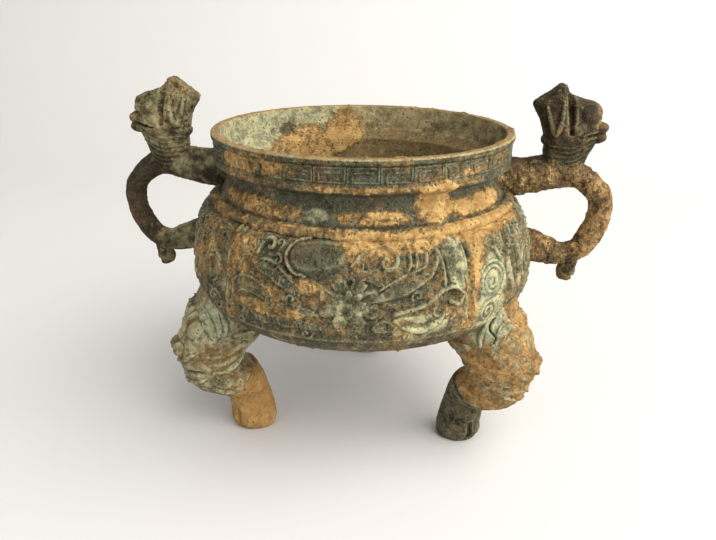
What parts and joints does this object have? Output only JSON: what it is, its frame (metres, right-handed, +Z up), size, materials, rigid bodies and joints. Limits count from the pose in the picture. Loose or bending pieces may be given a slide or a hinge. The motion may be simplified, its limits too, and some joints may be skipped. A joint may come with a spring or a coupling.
{
  "type": "ding vessel",
  "caption": "Small round cast-bronze tripod vessel with an upright banded lip, bulging belly, beast-mask legs and loop handles topped by beast heads, under patina and soil.",
  "frame": {"origin": "centre of the bounding box's underside, on the floor the paws stand on", "axes": "+X runs from handle to handle, toward the handle on the viewer's right; -Y is the side the picture shows; +Z is up"},
  "size_m": [0.1906, 0.1446, 0.1345],
  "materials": {
    "bronze": "matte patina with earth crust"
  },
  "bodies": {
    "root": {"vessel": "bronze"}
  },
  "joints": []
}
